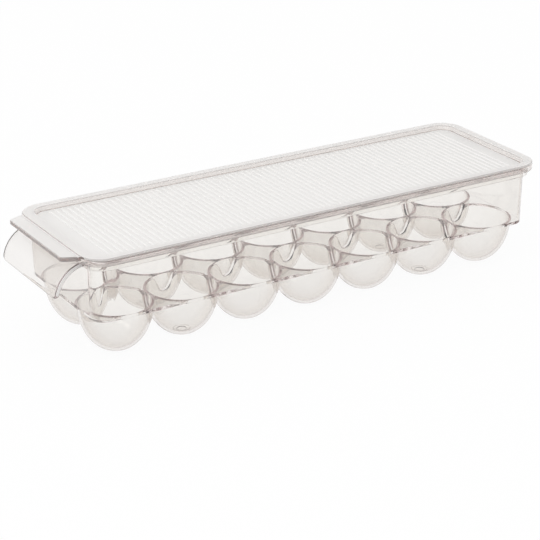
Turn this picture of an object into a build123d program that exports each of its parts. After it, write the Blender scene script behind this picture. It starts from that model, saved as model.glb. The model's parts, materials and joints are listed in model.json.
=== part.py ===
from build123d import *
import os
from math import acos, atan2, degrees, hypot, radians, sqrt, tan

# Egg keeper with a flip lid: a clear moulded tray with two rows of egg cups and a curled
# handle, and a clear moulded lid that snaps onto two pivot bars behind the tray.
# The handle end is the front (-Y), the rows of cups run along Y, +Z is up, in mm.
# The origin is on the floor, at the centre of the keeper's overall length and width.

# ---- egg cups
cups_per_row = 7
moulding_wall = 1.8         # thickness of the tray's cups, deck and walls
cup_mouth_radius = 23.3     # inside a cup, at the deck
cup_mouth_gap = 1.9         # between the mouths of neighbouring cups
cup_drop = 31.7             # from the underside of the deck down to the feet
foot_radius = 4.0           # flat foot under each cup
cup_lip_radius = 0.4        # rounding of each cup's inner edge

# ---- tray walls and rim
wall_height = 41.0          # from the underside of the deck up to the rim's top
wall_corner_radius = 10.0   # outside, at the deck
wall_draft = 0.7            # degrees that the walls lean out
wall_step = 0.25            # the walls stand out this far from the cups below them
rim_overhang = 3.4          # the rim stands out this far from the wall
rim_lip_wall = 1.6
rim_lip_height = 4.5        # the rim's turned-down lip, rim top included
rim_edge_radius = 0.8

# ---- handle: a quarter-round curl
handle_width = 79.0
handle_reach = 23.4         # outer radius of the curl
handle_wall = 3.2
handle_drop = 0.3           # the curl's top lies this far under the rim's top
handle_tip_angle = 7.0      # degrees above level at which the curl ends
handle_edge_radius = 1.4

# ---- lid
lid_seat_gap = 0.3          # between the rim's top and the lid's panel
lid_wall = 1.8
lid_side_overhang = 2.25    # beyond the tray's rim
lid_end_overhang = 3.2
lid_corner_radius = 16.5
bead_height = 3.0           # the raised border stands this far above the panel
side_bead_width = 6.3
front_bead_width = 8.1
rear_bead_width = 6.7
bead_slope = 28.0           # degrees from upright of the border's inner face
skirt_drop = 0.4            # the lid's skirt reaches this far below the rim's top
lid_edge_radius = 1.2
bead_inner_edge_radius = 0.7

# ---- ribs across the lid's panel
rib_pitch = 4.45
rib_width = 1.5
rib_height = 0.5
rib_end_margin = 3.5        # from the end of a rib to the border
rib_row_margin = 10.0       # at least, from the first and the last rib to the border

# ---- lift tab
tab_reach = 11.1
tab_root_width = 86.0
tab_tip_width = 76.5
tab_wall = 3.0
tab_step = 0.2              # the tab's top lies this far below the border's top
tab_corner_radius = 3.0
tab_edge_radius = 0.7

# ---- hinge
hinge_spacing = 60.0        # between the two hinge stations
pivot_radius = 1.3
pivot_clearance = 0.08      # radial running clearance of the clips on the bars
clip_wall = 1.5
clip_width = 10.0
clip_side_gap = 0.4
clip_inset = 0.3            # the clips lie this far inside the lid's rear face
clip_top_gap = 0.3          # between a clip and the rim's ledge above it
clip_mouth = 2.0            # narrower than a pivot bar, so that the clip snaps on
clip_mouth_angle = 215.0    # degrees from +Y, counterclockwise about +X
lug_wall = 2.0
lug_side_gap = 0.3          # between a lug and the cut-out in the rim's lip
heel_reach = 3.6            # from the pivot's centre to the tip of the stop heel
heel_wall = 1.2
stop_gap = 0.05
opening_angle = 105.0       # the stop heels meet the back wall here

# ---- places worked out from the sizes above
cup_pitch = 2 * cup_mouth_radius + cup_mouth_gap
cup_outer_radius = cup_mouth_radius + moulding_wall
bowl_depth = cup_drop / sqrt(1 - (foot_radius / cup_outer_radius) ** 2)
half_width = cup_pitch / 2 + cup_outer_radius + wall_step
half_length = cup_pitch * (cups_per_row - 1) / 2 + cup_outer_radius + wall_step
draft_spread = (wall_height - moulding_wall) * tan(radians(wall_draft))
top_half_length = half_length + draft_spread
rim_half_width = half_width + draft_spread + rim_overhang
rim_half_length = top_half_length + rim_overhang
rim_corner_radius = wall_corner_radius + draft_spread + rim_overhang

lid_half_width = rim_half_width + lid_side_overhang
lid_half_length = rim_half_length + lid_end_overhang
tray_y = (top_half_length + handle_reach - lid_half_length) / 2

deck_z = cup_drop
floor_z = deck_z + moulding_wall
rim_z = deck_z + wall_height
ledge_z = rim_z - moulding_wall
panel_z = rim_z + lid_seat_gap
panel_top_z = panel_z + lid_wall
bead_z = panel_top_z + bead_height
skirt_z = rim_z - skirt_drop

lid_front_y = tray_y - lid_half_length
lid_rear_y = tray_y + lid_half_length
bead_lean = bead_height * tan(radians(bead_slope))
panel_half_width = lid_half_width - side_bead_width - bead_lean
panel_front_y = lid_front_y + front_bead_width + bead_lean
panel_rear_y = lid_rear_y - rear_bead_width - bead_lean
panel_corner_radius = lid_corner_radius - side_bead_width - bead_lean
rib_row_length = panel_rear_y - panel_front_y - 2 * rib_row_margin - rib_width
rib_count = 1 + int(rib_row_length / rib_pitch)

clip_radius = pivot_radius + pivot_clearance + clip_wall
pivot_y = lid_rear_y - clip_inset - clip_radius
pivot_z = ledge_z - clip_top_gap - clip_radius
station_x = hinge_spacing / 2
lug_x = clip_width / 2 + clip_side_gap


def wall_face_y(z):
    """Y of the back wall's outer face at a height."""
    return tray_y + half_length + (z - floor_z) * tan(radians(wall_draft))


# At the stop, the leading corner of a heel's tip lies against the back wall.
heel_corner_reach = hypot(heel_reach, heel_wall / 2)
heel_fall = acos((pivot_y - wall_face_y(pivot_z) - stop_gap) / heel_corner_reach)
heel_lead = atan2(heel_wall / 2, heel_reach)
heel_angle = 180 + degrees(heel_fall + heel_lead) + opening_angle

side_names = {"left": -1, "right": 1}


def rounded_outline(half_x, low_y, high_y, radius, mode=Mode.ADD):
    """Rounded rectangle from low_y to high_y, centred across the keeper."""
    with Locations((0, (low_y + high_y) / 2)):
        RectangleRounded(2 * half_x, high_y - low_y, radius, mode=mode)


def tray_outline(half_x, half_y, radius):
    """Rounded rectangle about the middle of the cups."""
    rounded_outline(half_x, tray_y - half_y, tray_y + half_y, radius)


def save(piece, name):
    """Label a finished piece and write it to its own STEP file."""
    piece.part.label = name
    export_step(piece.part, f"parts/{name}.step")


def cup_profile(mouth_radius, depth):
    """A quarter ellipse, from the bottom of a cup up to the deck's underside."""
    mouth, bottom = (mouth_radius, 0), (0, -depth)
    pull = 4 / 3 * (sqrt(2) - 1)
    Bezier(bottom, (pull * mouth_radius, -depth), (mouth_radius, -pull * depth), mouth)
    return mouth, bottom


def make_cup(side, row):
    """One egg cup with its share of the deck, cut where its neighbours begin."""
    centre_x = side * cup_pitch / 2
    centre_y = tray_y + (row - (cups_per_row - 1) / 2) * cup_pitch
    low_y = tray_y - half_length if row == 0 else centre_y - cup_pitch / 2
    high_y = tray_y + half_length if row == cups_per_row - 1 else centre_y + cup_pitch / 2
    cell_centre = (side * half_width / 2, (low_y + high_y) / 2)
    section = Plane((centre_x, centre_y, deck_z), x_dir=(1, 0, 0), z_dir=(0, -1, 0))
    upright = Axis((centre_x, centre_y, 0), (0, 0, 1))

    with BuildPart() as cup:
        with BuildSketch(section):
            with BuildLine():
                mouth, bottom = cup_profile(cup_outer_radius, bowl_depth)
                Polyline(mouth, (0, 0), bottom)
            make_face()
        revolve(axis=upright)
        with Locations((*cell_centre, deck_z / 2)):
            Box(half_width, high_y - low_y, deck_z, mode=Mode.INTERSECT)
        with BuildSketch(Plane.XY.offset(deck_z)):
            with Locations(cell_centre):
                Rectangle(half_width, high_y - low_y)
            with Locations((0, tray_y)):
                RectangleRounded(
                    2 * half_width, 2 * half_length, wall_corner_radius, mode=Mode.INTERSECT
                )
        extrude(amount=moulding_wall)
        with BuildSketch(section):
            with BuildLine():
                mouth, bottom = cup_profile(cup_mouth_radius, bowl_depth - moulding_wall)
                lip_x = cup_mouth_radius + cup_lip_radius
                lip_z = moulding_wall - cup_lip_radius
                Line(mouth, (cup_mouth_radius, lip_z))
                CenterArc((lip_x, lip_z), cup_lip_radius, 180, -90)
                Polyline((lip_x, moulding_wall), (0, moulding_wall), bottom)
            make_face()
        revolve(axis=upright, mode=Mode.SUBTRACT)
    return cup


def make_tray_shell():
    """The tray's four walls with the turned-down rim, all round."""
    with BuildPart() as shell:
        wall_foot = (half_width, half_length, wall_corner_radius)
        with BuildSketch(Plane.XY.offset(floor_z)):
            tray_outline(*wall_foot)
        extrude(amount=rim_z - floor_z, taper=-wall_draft)
        with BuildSketch(Plane.XY.offset(ledge_z)):
            tray_outline(rim_half_width, rim_half_length, rim_corner_radius)
        extrude(amount=moulding_wall)
        with BuildSketch(Plane.XY.offset(rim_z - rim_lip_height)):
            tray_outline(rim_half_width, rim_half_length, rim_corner_radius)
            with Locations((0, tray_y)):
                RectangleRounded(
                    2 * (rim_half_width - rim_lip_wall),
                    2 * (rim_half_length - rim_lip_wall),
                    rim_corner_radius - rim_lip_wall,
                    mode=Mode.SUBTRACT,
                )
        extrude(amount=rim_lip_height - moulding_wall)
        rim_edges = shell.faces().sort_by(Axis.Z)[-1].outer_wire().edges()
        fillet(rim_edges, radius=rim_edge_radius)
        with BuildSketch(Plane.XY.offset(floor_z)):
            tray_outline(*[reach - moulding_wall for reach in wall_foot])
        extrude(amount=rim_z - floor_z, taper=-wall_draft, mode=Mode.SUBTRACT)
        # The rim gives way to the handle at the front.
        handle_root_y = tray_y - top_half_length
        with Locations((0, handle_root_y, rim_z)):
            Box(
                handle_width,
                2 * rim_overhang,
                2 * rim_lip_height,
                align=(Align.CENTER, Align.MAX, Align.CENTER),
                mode=Mode.SUBTRACT,
            )
        # Its lip is cut out for the hinge stations at the back.
        with Locations(*[(side * station_x, wall_face_y(rim_z), ledge_z) for side in (-1, 1)]):
            Box(
                2 * (lug_x + lug_wall + lug_side_gap),
                2 * rim_overhang,
                rim_lip_height,
                align=(Align.CENTER, Align.MIN, Align.MAX),
                mode=Mode.SUBTRACT,
            )
    return shell


def make_handle():
    """Curled handle that grows out of the front wall's top."""
    root_y = tray_y - top_half_length
    curl_z = rim_z - handle_drop - handle_reach
    middle_radius = handle_reach - handle_wall / 2
    with BuildPart() as handle:
        with BuildSketch(Plane.YZ.offset(-handle_width / 2)):
            with BuildLine(mode=Mode.PRIVATE):
                curl = CenterArc((root_y, curl_z), middle_radius, 80, 100 - handle_tip_angle)
            SlotArc(curl, handle_wall)
            with Locations((root_y, rim_z)):
                Rectangle(
                    2 * handle_reach,
                    2 * handle_reach,
                    align=(Align.MIN, Align.CENTER),
                    mode=Mode.SUBTRACT,
                )
        extrude(amount=handle_width)
        sides = handle.faces().filter_by(Axis.X)
        fillet(sides.edges().filter_by(GeomType.CIRCLE), radius=handle_edge_radius)
    return handle


def make_bracket(side):
    """Two lugs under the rim's ledge with the pivot bar between them."""
    root_y = wall_face_y(rim_z)
    lug_radius = clip_radius - pivot_clearance
    low_z = pivot_z - lug_radius
    station = side * station_x
    with BuildPart() as bracket:
        for start_x in (station - lug_x - lug_wall, station + lug_x):
            with BuildSketch(Plane.YZ.offset(start_x)):
                with Locations((root_y, low_z)):
                    Rectangle(pivot_y - root_y, ledge_z - low_z, align=(Align.MIN, Align.MIN))
                with Locations((pivot_y, pivot_z)):
                    Circle(lug_radius)
            extrude(amount=lug_wall)
        with BuildSketch(Plane.YZ.offset(station - lug_x)):
            with Locations((pivot_y, pivot_z)):
                Circle(pivot_radius)
        extrude(amount=2 * lug_x)
    return bracket


def make_lid_shell():
    """The lid's raised border and skirt, all round the panel."""
    panel_hole = (panel_half_width, panel_front_y, panel_rear_y, panel_corner_radius)
    web_hole = (
        panel_half_width + lid_wall,
        panel_front_y - lid_wall,
        panel_rear_y + lid_wall,
        panel_corner_radius + lid_wall,
    )
    with BuildPart() as shell:
        with BuildSketch(Plane.XY.offset(skirt_z)):
            rounded_outline(lid_half_width, lid_front_y, lid_rear_y, lid_corner_radius)
        extrude(amount=bead_z - skirt_z)
        outer_edges = shell.faces().sort_by(Axis.Z)[-1].outer_wire().edges()
        fillet(outer_edges, radius=lid_edge_radius)
        with BuildSketch(Plane.XY.offset(skirt_z)):
            rounded_outline(
                lid_half_width - lid_wall,
                lid_front_y + lid_wall,
                lid_rear_y - lid_wall,
                lid_corner_radius - lid_wall,
            )
        extrude(amount=bead_z - lid_wall - skirt_z, mode=Mode.SUBTRACT)
        with BuildSketch(Plane.XY.offset(panel_z)):
            rounded_outline(*web_hole)
        extrude(amount=bead_z - lid_wall - panel_z, taper=-bead_slope)
        with BuildSketch(Plane.XY.offset(panel_z)):
            rounded_outline(*panel_hole)
        extrude(amount=lid_wall, mode=Mode.SUBTRACT)
        with BuildSketch(Plane.XY.offset(panel_top_z)):
            rounded_outline(*panel_hole)
        extrude(amount=bead_height, taper=-bead_slope, mode=Mode.SUBTRACT)
        inner_edges = shell.faces().sort_by(Axis.Z)[-1].inner_wires()[0].edges()
        fillet(inner_edges, radius=bead_inner_edge_radius)
    return shell


def make_lid_panel():
    """The lid's flat panel with its rows of fine ribs."""
    with BuildPart() as panel:
        with BuildSketch(Plane.XY.offset(panel_z)):
            rounded_outline(panel_half_width, panel_front_y, panel_rear_y, panel_corner_radius)
        extrude(amount=lid_wall)
        with BuildSketch(Plane.XY.offset(panel_top_z)):
            with Locations((0, (panel_front_y + panel_rear_y) / 2)):
                with GridLocations(0, rib_pitch, 1, rib_count):
                    SlotOverall(2 * (panel_half_width - rib_end_margin), rib_width)
        extrude(amount=rib_height)
    return panel


def make_tab():
    """The lid's lift tab, a thin plate that narrows towards the front."""
    top_z = bead_z - tab_step
    tip_y = lid_front_y - tab_reach
    with BuildPart() as tab:
        with BuildSketch(Plane.XY.offset(top_z - tab_wall)):
            with BuildLine():
                Polyline(
                    (-tab_root_width / 2, lid_front_y + lid_wall),
                    (-tab_root_width / 2, lid_front_y),
                    (-tab_tip_width / 2, tip_y),
                    (tab_tip_width / 2, tip_y),
                    (tab_root_width / 2, lid_front_y),
                    (tab_root_width / 2, lid_front_y + lid_wall),
                    close=True,
                )
            face = make_face()
            fillet(face.vertices().group_by(Axis.Y)[0], radius=tab_corner_radius)
            rounded_outline(
                lid_half_width, lid_front_y, lid_rear_y, lid_corner_radius, mode=Mode.SUBTRACT
            )
        extrude(amount=tab_wall)
        free_edges = tab.faces().group_by(Axis.Z)[-1].edges().filter_by(
            lambda edge: edge.center().Y < lid_front_y - tab_edge_radius
        )
        fillet(free_edges, radius=tab_edge_radius)
    return tab


def make_clip(side):
    """Snap clip that hangs from the lid's rear skirt and turns on a pivot bar."""
    with BuildPart() as clip:
        with BuildSketch(Plane.YZ.offset(side * station_x - clip_width / 2)):
            with Locations((lid_rear_y, pivot_z)):
                Rectangle(lid_wall, skirt_z - pivot_z, align=(Align.MAX, Align.MIN))
            with Locations((pivot_y, pivot_z)):
                Circle(clip_radius)
                Rectangle(
                    heel_reach, heel_wall, heel_angle, align=(Align.MIN, Align.CENTER)
                )
                Circle(pivot_radius + pivot_clearance, mode=Mode.SUBTRACT)
                Rectangle(
                    2 * clip_radius,
                    clip_mouth,
                    clip_mouth_angle,
                    align=(Align.MIN, Align.CENTER),
                    mode=Mode.SUBTRACT,
                )
        extrude(amount=clip_width)
    return clip


def save_quarters(shell, corner_reach, middle_y, half_y, names):
    """Cut a shell that runs all round into its front, rear, left and right lengths."""
    front = Plane((0, middle_y - half_y + corner_reach, 0), z_dir=(0, 1, 0))
    rear = Plane((0, middle_y + half_y - corner_reach, 0), z_dir=(0, 1, 0))
    for name, cuts in names.items():
        with BuildPart() as length:
            add(shell.part)
            for cut, keep in cuts(front, rear):
                split(bisect_by=cut, keep=keep)
        save(length, name)


def quarter_names(prefix):
    """Names of the four lengths of a shell, each with the cuts that leave it."""
    return {
        f"{prefix}_front": lambda front, rear: [(front, Keep.BOTTOM)],
        f"{prefix}_rear": lambda front, rear: [(rear, Keep.TOP)],
        f"{prefix}_left": lambda front, rear: [
            (front, Keep.TOP),
            (rear, Keep.BOTTOM),
            (Plane.YZ, Keep.BOTTOM),
        ],
        f"{prefix}_right": lambda front, rear: [
            (front, Keep.TOP),
            (rear, Keep.BOTTOM),
            (Plane.YZ, Keep.TOP),
        ],
    }


os.makedirs("parts", exist_ok=True)

save_quarters(
    make_tray_shell(),
    rim_corner_radius,
    tray_y,
    rim_half_length,
    quarter_names("tray_wall"),
)
for side_name, side in side_names.items():
    for row in range(cups_per_row):
        save(make_cup(side, row), f"egg_cup_{side_name}_{row + 1}")
    save(make_bracket(side), f"pivot_bracket_{side_name}")
    save(make_clip(side), f"lid_clip_{side_name}")
save(make_handle(), "handle")

save_quarters(
    make_lid_shell(),
    lid_corner_radius,
    tray_y,
    lid_half_length,
    quarter_names("lid_border"),
)
save(make_lid_panel(), "lid_panel")
save(make_tab(), "lid_tab")
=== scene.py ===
"""Looks of a clear egg keeper: a moulded tray of egg cups and the lid that flips up behind it.

The tray and the lid are each one injection moulding, so each is built here as one continuous
skin around its plastic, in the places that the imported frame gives, and dressed in clear plastic.
Lengths are in millimetres until a skin becomes a mesh, and angles are in degrees.
"""

import json
import logging
import math
from dataclasses import dataclass, field
from enum import Enum
from typing import Callable, Iterable, Sequence

import bmesh
import bpy
from mathutils import Matrix, Vector

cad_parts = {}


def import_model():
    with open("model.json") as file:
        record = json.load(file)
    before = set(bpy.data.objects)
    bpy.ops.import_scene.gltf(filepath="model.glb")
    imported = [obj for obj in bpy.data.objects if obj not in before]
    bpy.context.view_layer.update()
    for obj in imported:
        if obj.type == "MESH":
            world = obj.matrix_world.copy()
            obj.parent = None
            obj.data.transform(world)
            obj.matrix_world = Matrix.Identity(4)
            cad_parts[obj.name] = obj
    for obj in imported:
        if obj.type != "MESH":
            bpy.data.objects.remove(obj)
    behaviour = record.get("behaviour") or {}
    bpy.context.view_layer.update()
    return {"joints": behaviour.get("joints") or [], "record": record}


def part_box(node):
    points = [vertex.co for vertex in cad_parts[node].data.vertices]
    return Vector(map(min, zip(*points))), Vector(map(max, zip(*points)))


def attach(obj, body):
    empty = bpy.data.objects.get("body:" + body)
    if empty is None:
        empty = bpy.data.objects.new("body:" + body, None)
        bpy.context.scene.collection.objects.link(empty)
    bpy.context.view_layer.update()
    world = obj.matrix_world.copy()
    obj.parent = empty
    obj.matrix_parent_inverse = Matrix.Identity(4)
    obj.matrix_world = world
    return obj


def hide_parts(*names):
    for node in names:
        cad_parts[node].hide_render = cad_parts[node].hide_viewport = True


log = logging.getLogger("egg_keeper")

MM = 0.001
WHITE = "FFFFFF"
HINGE_SPACING = 60.0

# Faces that meet at less than this angle are shaded as one round surface.
SMOOTH_ANGLE = math.radians(32)
FLAT_FACE_WEIGHT = 90

# Points of a skin are one, and so are points where a wall stands, when they fall on the same
# of this many parts of a millimetre.
WELD_PARTS = 2000
STAND_PARTS = 1000

# A place this near a line lies on it, and two values in metres this near are the same.
ON_LINE = 0.01
SAME_METRES = 1e-7

# Radius of a small moulded edge, and how far in the middle of its round lies.
EDGE_ROUND = 0.3
ROUND_MIDDLE = 0.09

# Shares kept on each face: how satin it is, and how much painted shade darkens it as it turns from the eye.
SATIN = "satin"
PAINTED_SHADE_MARK = "painted_shade"

# What a face is, told from how much of its direction points one way.
LEVEL = 0.9
RISING = 0.05
STEEP = 0.7
UPRIGHT = 0.2
CORNER = 0.15
SIDEWAYS = 0.95

TIMES = {"operation": "MULTIPLY"}

# The mix node's colour sockets, which have the same names as those for other values.
MIX_FROM = 6
MIX_TO = 7
MIX_RESULT = 2

Point2 = tuple[float, float]
Point3 = tuple[float, float, float]


class Body(Enum):
    """The two mouldings, by the names of the bodies that carry them."""

    TRAY = "tray"
    LID = "lid"


class Strip(Enum):
    """Which parts of the tray's rim stand on a stretch of wall."""

    FULL = "full"
    NO_RIM = "no_rim"
    NO_LIP = "no_lip"


def linear(hex_colour: str) -> tuple[float, float, float, float]:
    """Turn an sRGB hex colour into linear light.

    Args:
        hex_colour: Six hex digits.

    Returns:
        Linear red, green, blue and an alpha of one.
    """

    def channel(value: int) -> float:
        """Turn one 8-bit sRGB value into linear light, straight near black and a power above."""
        share = value / 255
        return share / 12.92 if share <= 0.04045 else ((share + 0.055) / 1.055) ** 2.4

    red, green, blue = (channel(int(hex_colour[i : i + 2], 16)) for i in (0, 2, 4))
    return red, green, blue, 1.0


def on_circle(centre: Point2, radius: float, angle: float) -> Point2:
    """The point of a circle at an angle."""
    turn = math.radians(angle)
    return centre[0] + radius * math.cos(turn), centre[1] + radius * math.sin(turn)


def half_angle(width: float, radius: float) -> float:
    """Half the angle that a chord takes up on a circle."""
    return math.degrees(math.asin(width / 2 / radius))


def arc_points(centre: Point2, radius: float, start: float, sweep: float, steps: int) -> list[Point2]:
    """Points along an arc.

    Args:
        centre: The arc's centre.
        radius: Its radius.
        start: The first point's angle.
        sweep: The angle turned through.
        steps: How many chords the arc has.

    Returns:
        The points from first to last.
    """
    return [on_circle(centre, radius, start + sweep * i / steps) for i in range(steps + 1)]


def spokes(centre: Point2, edge: Sequence[Point2], reaches: Sequence[float]) -> list[Point2]:
    """Places on the lines from a centre to the points of an edge.

    Args:
        centre: Where the lines start.
        edge: Where each line leads.
        reaches: How far along its line each place lies.

    Returns:
        The places.
    """
    places = []
    for (x, y), reach in zip(edge, reaches):
        share = reach / math.dist((x, y), centre)
        places.append((centre[0] + (x - centre[0]) * share, centre[1] + (y - centre[1]) * share))
    return places


class Skin:
    """The outer surface of one moulding, welded where its patches meet."""

    def __init__(self) -> None:
        """Start with no points and no faces."""
        self.points: list[Point3] = []
        self.faces: list[list[int]] = []
        self.known: dict[tuple[int, int, int], int] = {}

    def point(self, x: float, y: float, z: float) -> int:
        """Give the number of a point, adding it where no patch has it yet.

        Args:
            x: Place across the keeper.
            y: Place along it.
            z: Height.

        Returns:
            The number.
        """
        key = (round(x * WELD_PARTS), round(y * WELD_PARTS), round(z * WELD_PARTS))
        if key not in self.known:
            self.known[key] = len(self.points)
            self.points.append((x, y, z))
        return self.known[key]

    def face(self, corners: Sequence[int]) -> None:
        """Add a face, leaving out corners that fall on each other.

        Args:
            corners: Numbers of the points round it.
        """
        kept = [corner for i, corner in enumerate(corners) if corner != corners[i - 1]]
        if len(set(kept)) >= 3:
            self.faces.append(kept)

    def bridge(self, low: Sequence[int], high: Sequence[int], closed: bool = False) -> None:
        """Join two rows of points with quads.

        Args:
            low: The first row.
            high: The second row, as long as the first.
            closed: Whether the last points join the first ones.
        """
        count = len(low)
        for i in range(count if closed else count - 1):
            j = (i + 1) % count
            self.face((low[i], low[j], high[j], high[i]))

    def tube(self, rings: Sequence[Sequence[int]]) -> None:
        """Join closed rings one after the other."""
        for low, high in zip(rings, rings[1:]):
            self.bridge(low, high, closed=True)

    def solid(self, rings: Sequence[Sequence[int]]) -> None:
        """Join closed rings and close both ends.

        Args:
            rings: The rings from one end to the other.
        """
        self.tube(rings)
        self.face(rings[0])
        self.face(rings[-1])

    def bowl(self, bottom: int, rings: Sequence[Sequence[int]]) -> None:
        """Join a bowl's lowest point and its rings outwards.

        Args:
            bottom: The lowest point.
            rings: The rings from there out.
        """
        for i, number in enumerate(rings[0]):
            self.face((bottom, number, rings[0][(i + 1) % len(rings[0])]))
        self.tube(rings)

    def to_object(self, name: str) -> bpy.types.Object:
        """Make the skin a mesh object in metres, with its faces turned outwards.

        Args:
            name: The object's name.

        Returns:
            The object, linked to the scene.
        """
        mesh = bpy.data.meshes.new(name)
        mesh.from_pydata([(x * MM, y * MM, z * MM) for x, y, z in self.points], [], self.faces)
        draft = bmesh.new()
        draft.from_mesh(mesh)
        bmesh.ops.recalc_face_normals(draft, faces=draft.faces)
        draft.to_mesh(mesh)
        draft.free()
        made = bpy.data.objects.new(name, mesh)
        bpy.context.scene.collection.objects.link(made)
        return made


def round_edges(draft: bmesh.types.BMesh, edges: list, radius: float, steps: int) -> None:
    """Round some edges of a mesh that is being edited."""
    size = radius * MM
    bmesh.ops.bevel(draft, geom=edges, offset=size, segments=steps, affect="EDGES", clamp_overlap=True)


def is_flat(edge: bmesh.types.BMEdge, axis: int) -> bool:
    """Whether both ends of an edge lie at the same place along an axis."""
    return abs(edge.verts[0].co[axis] - edge.verts[1].co[axis]) < SAME_METRES


def plate_across(
    outline: Sequence[Point2], start: float, width: float, rounding: float, name: str
) -> bpy.types.Object:
    """Build a closed plate from its outline in a plane across the keeper.

    Args:
        outline: Places along and up the keeper, in order round the plate.
        start: Where the plate starts across the keeper.
        width: How wide it is.
        rounding: Radius of its edges, or nothing for sharp ones.
        name: The piece's name.

    Returns:
        The piece.
    """
    skin = Skin()
    skin.solid([[skin.point(x, y, z) for y, z in outline] for x in (start, start + width)])
    made = skin.to_object(name)
    if rounding:
        draft = bmesh.new()
        draft.from_mesh(made.data)
        round_edges(draft, [edge for edge in draft.edges if is_flat(edge, 0)], rounding, steps=3)
        draft.to_mesh(made.data)
        draft.free()
    return made


def fuse(base: bpy.types.Object, additions: Iterable[bpy.types.Object]) -> None:
    """Melt closed pieces into one skin, so that no inner face is left between them.

    Args:
        base: The piece that the others join.
        additions: The pieces to join, which are used up.
    """
    for addition in additions:
        join = base.modifiers.new("join", "BOOLEAN")
        join.operation = "UNION"
        join.solver = "MANIFOLD"
        join.object = addition
        graph = bpy.context.evaluated_depsgraph_get()
        joined = bpy.data.meshes.new_from_object(base.evaluated_get(graph))
        base.modifiers.clear()
        base.data = joined
        bpy.data.objects.remove(addition)


def smooth(piece: bpy.types.Object) -> None:
    """Shade a piece round across gentle bends and crisp at its edges.

    Args:
        piece: The piece.
    """
    piece.data.polygons.foreach_set("use_smooth", [True] * len(piece.data.polygons))
    piece.data.set_sharp_from_angle(angle=SMOOTH_ANGLE)
    weigh = piece.modifiers.new("flat_faces_first", "WEIGHTED_NORMAL")
    weigh.keep_sharp = True
    weigh.weight = FLAT_FACE_WEIGHT


def mark_faces(piece: bpy.types.Object, name: str, share: Callable[[Vector, Vector], float]) -> None:
    """Keep a share on each face of a piece, for its material to read.

    Args:
        piece: The piece.
        name: What the share is called.
        share: Gives the share from a face's centre and its outward direction.
    """
    marks = piece.data.attributes.new(name, "FLOAT", "FACE")
    for face in piece.data.polygons:
        marks.data[face.index].value = share(face.center / MM, face.normal)


def node_box(node: str) -> tuple[Vector, Vector]:
    """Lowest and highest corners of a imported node."""
    low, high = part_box(node)
    return low / MM, high / MM


def add_node(
    tree: bpy.types.NodeTree, kind: str, settings: dict | None = None, links: dict | None = None
) -> bpy.types.Node:
    """Add a node with its settings and what feeds it.

    Args:
        tree: The node tree.
        kind: Blender's name of the node.
        settings: Values by socket or property name.
        links: Output sockets by input name.

    Returns:
        The node.
    """
    made = tree.nodes.new(kind)
    for key, value in (settings or {}).items():
        if isinstance(key, int) or key in made.inputs:
            made.inputs[key].default_value = value
        else:
            setattr(made, key, value)
    for key, source in (links or {}).items():
        tree.links.new(source, made.inputs[key])
    return made


def start_material(name: str, values: dict) -> bpy.types.Material:
    """Make a material and set its shader's own sockets.

    Args:
        name: The material's name.
        values: What each socket is set to.

    Returns:
        The material.
    """
    made = bpy.data.materials.new(name)
    made.use_nodes = True
    for socket, value in values.items():
        made.node_tree.nodes["Principled BSDF"].inputs[socket].default_value = value
    return made


def seen_by_eye(tree: bpy.types.NodeTree) -> bpy.types.NodeSocket:
    """Give one for what the eye sees straight, in a gloss or through clear plastic, and else nothing.

    Args:
        tree: The node tree.

    Returns:
        The socket with that value.
    """
    path = add_node(tree, "ShaderNodeLightPath")
    shown = path.outputs["Is Camera Ray"]
    for other in ("Is Glossy Ray", "Is Transmission Ray"):
        either = {0: shown, 1: path.outputs[other]}
        shown = add_node(tree, "ShaderNodeMath", {"operation": "MAXIMUM"}, either).outputs[0]
    return shown


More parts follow.
